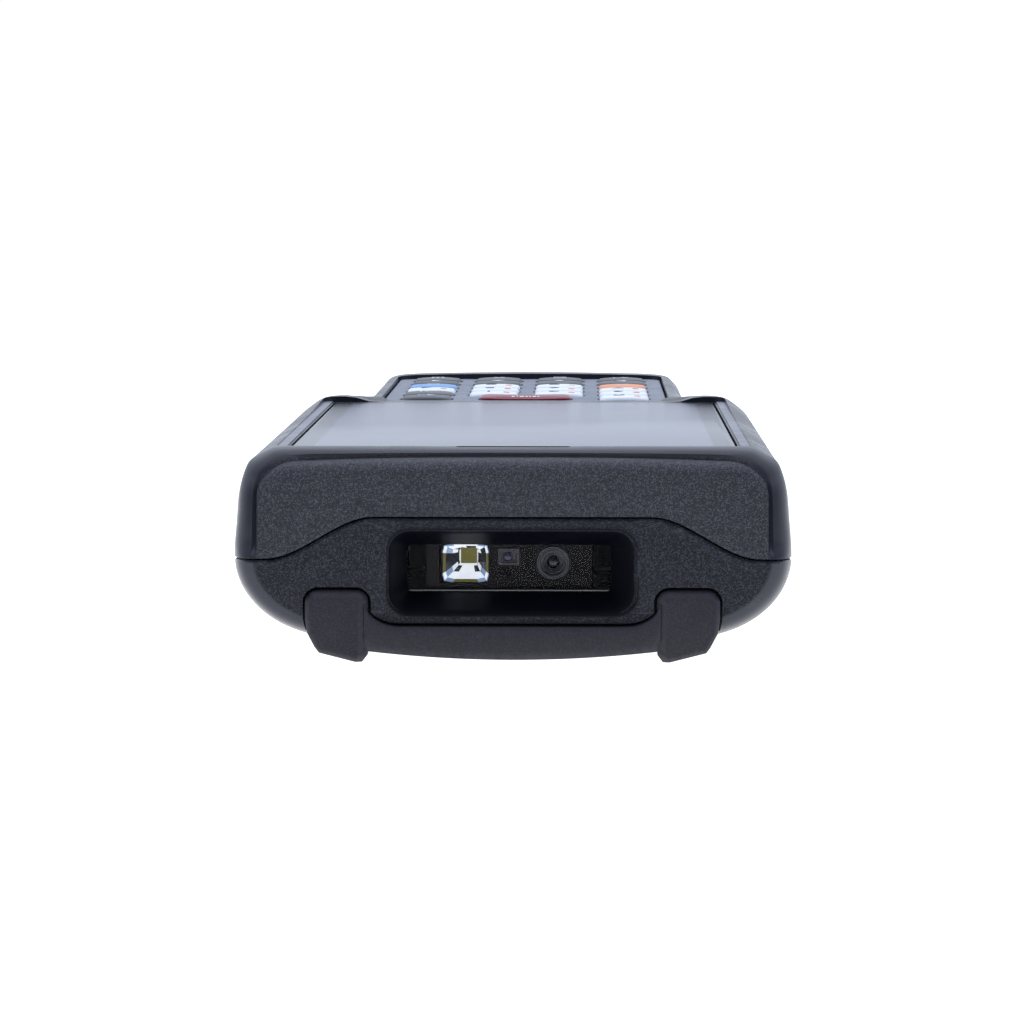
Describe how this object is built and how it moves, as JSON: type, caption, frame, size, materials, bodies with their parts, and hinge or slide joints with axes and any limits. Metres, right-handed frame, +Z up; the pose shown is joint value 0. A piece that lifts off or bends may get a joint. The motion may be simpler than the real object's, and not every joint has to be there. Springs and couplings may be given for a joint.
{
  "type": "handheld data terminal",
  "caption": "Rugged handheld terminal with a touch display, a keypad grip and a two-dimensional imager in its scan end",
  "frame": {"origin": "centre of the bounding box in plan, on the surface that the device lies on", "axes": "+X across to the right seen from the scan end, +Y from the scan end to the keypad end, +Z up out of the display"},
  "size_m": [0.078, 0.205, 0.0297],
  "materials": {
    "housing_front": "dark grey moulded plastic, satin on the sides and coarse grain on the ends",
    "housing_rear": "darker grey moulded plastic with coarse grain",
    "bumper_rubber": "matte charcoal rubber",
    "cover_rubber": "matte black rubber",
    "seal": "black rubber",
    "display_glass": "chemically strengthened glass over a display that is off, seen as one glossy grey face",
    "lcd": "display module",
    "frame_metal": "cast and machined light alloy",
    "circuit_board": "green solder mask",
    "shield_metal": "tinned steel",
    "keypad_plastic": "mid grey plastic with a fine dot texture",
    "mat_rubber": "silicone rubber",
    "key_white": "white key cap",
    "key_dark": "dark grey key cap with light legends",
    "key_blue": "blue key cap",
    "key_orange": "orange key cap",
    "key_maroon": "maroon scan key",
    "side_key": "dark rubbery side key",
    "window_plastic": "dark clear window",
    "engine_plastic": "black plastic",
    "clear_lens": "clear faceted lens",
    "led_phosphor": "yellow phosphor",
    "aimer_glass": "violet coated lens",
    "barrel_metal": "black anodised ring",
    "imager_glass": "coated camera lens",
    "mesh_metal": "fine woven mesh",
    "battery_wrap": "dark grey battery case",
    "contact_metal": "gold plated contacts",
    "brass_insert": "knurled brass",
    "screw_metal": "black zinc plated steel"
  },
  "bodies": {
    "housing": {"front_housing": "housing_front", "rear_housing": "housing_rear", "housing_seal": "seal", "bumper": "bumper_rubber", "grip_foot": "bumper_rubber", "touch_glass": "display_glass", "display_seal": "seal", "lcd_module": "lcd", "mid_frame": "frame_metal", "main_board": "circuit_board", "board_shields": "shield_metal", "keypad_panel": "keypad_plastic", "key_mat": "mat_rubber", "keypad_board": "circuit_board", "key_domes": "shield_metal", "scan_window": "window_plastic", "window_gasket": "seal", "engine_body": "engine_plastic", "illumination_lens": "clear_lens", "illumination_led": "led_phosphor", "aimer_lens": "aimer_glass", "imager_barrel": "barrel_metal", "imager_lens": "imager_glass", "earpiece": "engine_plastic", "earpiece_mesh": "mesh_metal", "loudspeaker": "engine_plastic", "battery_pack": "battery_wrap", "battery_contacts": "contact_metal", "port_connector": "shield_metal", "strap_inserts": "brass_insert", "side_switches": "contact_metal", "housing_screws": "screw_metal"},
    "key_scan": {"key_scan": "key_maroon"},
    "key_back": {"key_back": "key_dark"},
    "key_0": {"key_0": "key_white"},
    "key_tab": {"key_tab": "key_dark"},
    "key_1": {"key_1": "key_white"},
    "key_2": {"key_2": "key_white"},
    "key_3": {"key_3": "key_white"},
    "key_4": {"key_4": "key_white"},
    "key_5": {"key_5": "key_white"},
    "key_6": {"key_6": "key_white"},
    "key_7": {"key_7": "key_white"},
    "key_blue": {"key_blue": "key_blue"},
    "key_8": {"key_8": "key_white"},
    "key_9": {"key_9": "key_white"},
    "key_orange": {"key_orange": "key_orange"},
    "key_left": {"key_left": "key_dark"},
    "key_up": {"key_up": "key_dark"},
    "key_down": {"key_down": "key_dark"},
    "key_right": {"key_right": "key_dark"},
    "key_power": {"key_power": "key_dark"},
    "key_clear": {"key_clear": "key_dark"},
    "key_menu": {"key_menu": "key_dark"},
    "key_enter": {"key_enter": "key_dark"},
    "left_trigger": {"left_trigger": "side_key"},
    "right_trigger": {"right_trigger": "side_key"},
    "volume_rocker": {"volume_rocker": "side_key"},
    "battery_door": {"battery_door": "housing_rear"},
    "port_cover": {"port_cover": "cover_rubber"}
  },
  "joints": [
    {"name": "key_scan_press", "type": "slide", "parent": "housing", "child": "key_scan", "axis": [0, 0, -1], "range_m": [0, 0.00055], "stiffness_N_per_m": 1500},
    {"name": "key_back_press", "type": "slide", "parent": "housing", "child": "key_back", "axis": [0, 0, -1], "range_m": [0, 0.00055], "stiffness_N_per_m": 1500},
    {"name": "key_0_press", "type": "slide", "parent": "housing", "child": "key_0", "axis": [0, 0, -1], "range_m": [0, 0.00055], "stiffness_N_per_m": 1500},
    {"name": "key_tab_press", "type": "slide", "parent": "housing", "child": "key_tab", "axis": [0, 0, -1], "range_m": [0, 0.00055], "stiffness_N_per_m": 1500},
    {"name": "key_1_press", "type": "slide", "parent": "housing", "child": "key_1", "axis": [0, 0, -1], "range_m": [0, 0.00055], "stiffness_N_per_m": 1500},
    {"name": "key_2_press", "type": "slide", "parent": "housing", "child": "key_2", "axis": [0, 0, -1], "range_m": [0, 0.00055], "stiffness_N_per_m": 1500},
    {"name": "key_3_press", "type": "slide", "parent": "housing", "child": "key_3", "axis": [0, 0, -1], "range_m": [0, 0.00055], "stiffness_N_per_m": 1500},
    {"name": "key_4_press", "type": "slide", "parent": "housing", "child": "key_4", "axis": [0, 0, -1], "range_m": [0, 0.00055], "stiffness_N_per_m": 1500},
    {"name": "key_5_press", "type": "slide", "parent": "housing", "child": "key_5", "axis": [0, 0, -1], "range_m": [0, 0.00055], "stiffness_N_per_m": 1500},
    {"name": "key_6_press", "type": "slide", "parent": "housing", "child": "key_6", "axis": [0, 0, -1], "range_m": [0, 0.00055], "stiffness_N_per_m": 1500},
    {"name": "key_7_press", "type": "slide", "parent": "housing", "child": "key_7", "axis": [0, 0, -1], "range_m": [0, 0.00055], "stiffness_N_per_m": 1500},
    {"name": "key_blue_press", "type": "slide", "parent": "housing", "child": "key_blue", "axis": [0, 0, -1], "range_m": [0, 0.00055], "stiffness_N_per_m": 1500},
    {"name": "key_8_press", "type": "slide", "parent": "housing", "child": "key_8", "axis": [0, 0, -1], "range_m": [0, 0.00055], "stiffness_N_per_m": 1500},
    {"name": "key_9_press", "type": "slide", "parent": "housing", "child": "key_9", "axis": [0, 0, -1], "range_m": [0, 0.00055], "stiffness_N_per_m": 1500},
    {"name": "key_orange_press", "type": "slide", "parent": "housing", "child": "key_orange", "axis": [0, 0, -1], "range_m": [0, 0.00055], "stiffness_N_per_m": 1500},
    {"name": "key_left_press", "type": "slide", "parent": "housing", "child": "key_left", "axis": [0, 0, -1], "range_m": [0, 0.00055], "stiffness_N_per_m": 1500},
    {"name": "key_up_press", "type": "slide", "parent": "housing", "child": "key_up", "axis": [0, 0, -1], "range_m": [0, 0.00055], "stiffness_N_per_m": 1500},
    {"name": "key_down_press", "type": "slide", "parent": "housing", "child": "key_down", "axis": [0, 0, -1], "range_m": [0, 0.00055], "stiffness_N_per_m": 1500},
    {"name": "key_right_press", "type": "slide", "parent": "housing", "child": "key_right", "axis": [0, 0, -1], "range_m": [0, 0.00055], "stiffness_N_per_m": 1500},
    {"name": "key_power_press", "type": "slide", "parent": "housing", "child": "key_power", "axis": [0, 0, -1], "range_m": [0, 0.00055], "stiffness_N_per_m": 1500},
    {"name": "key_clear_press", "type": "slide", "parent": "housing", "child": "key_clear", "axis": [0, 0, -1], "range_m": [0, 0.00055], "stiffness_N_per_m": 1500},
    {"name": "key_menu_press", "type": "slide", "parent": "housing", "child": "key_menu", "axis": [0, 0, -1], "range_m": [0, 0.00055], "stiffness_N_per_m": 1500},
    {"name": "key_enter_press", "type": "slide", "parent": "housing", "child": "key_enter", "axis": [0, 0, -1], "range_m": [0, 0.00055], "stiffness_N_per_m": 1500},
    {"name": "left_trigger_press", "type": "slide", "parent": "housing", "child": "left_trigger", "axis": [1, 0, 0], "range_m": [0, 0.0005], "stiffness_N_per_m": 1800},
    {"name": "right_trigger_press", "type": "slide", "parent": "housing", "child": "right_trigger", "axis": [-1, 0, 0], "range_m": [0, 0.0005], "stiffness_N_per_m": 1800},
    {"name": "volume_rocker_tilt", "type": "hinge", "parent": "housing", "child": "volume_rocker", "pos_m": [-0.0358, -0.0585, 0.0192], "axis": [0, 0, 1], "range_deg": [-1.2, 1.2], "stiffness_Nm_per_rad": 0.45},
    {"name": "battery_door_slide", "type": "slide", "parent": "housing", "child": "battery_door", "axis": [0, 1, 0], "range_m": [0, 0.005]},
    {"name": "port_cover_hinge", "type": "hinge", "parent": "housing", "child": "port_cover", "pos_m": [0, 0.1004, 0.0123], "axis": [1, 0, 0], "range_deg": [0, 95]}
  ]
}
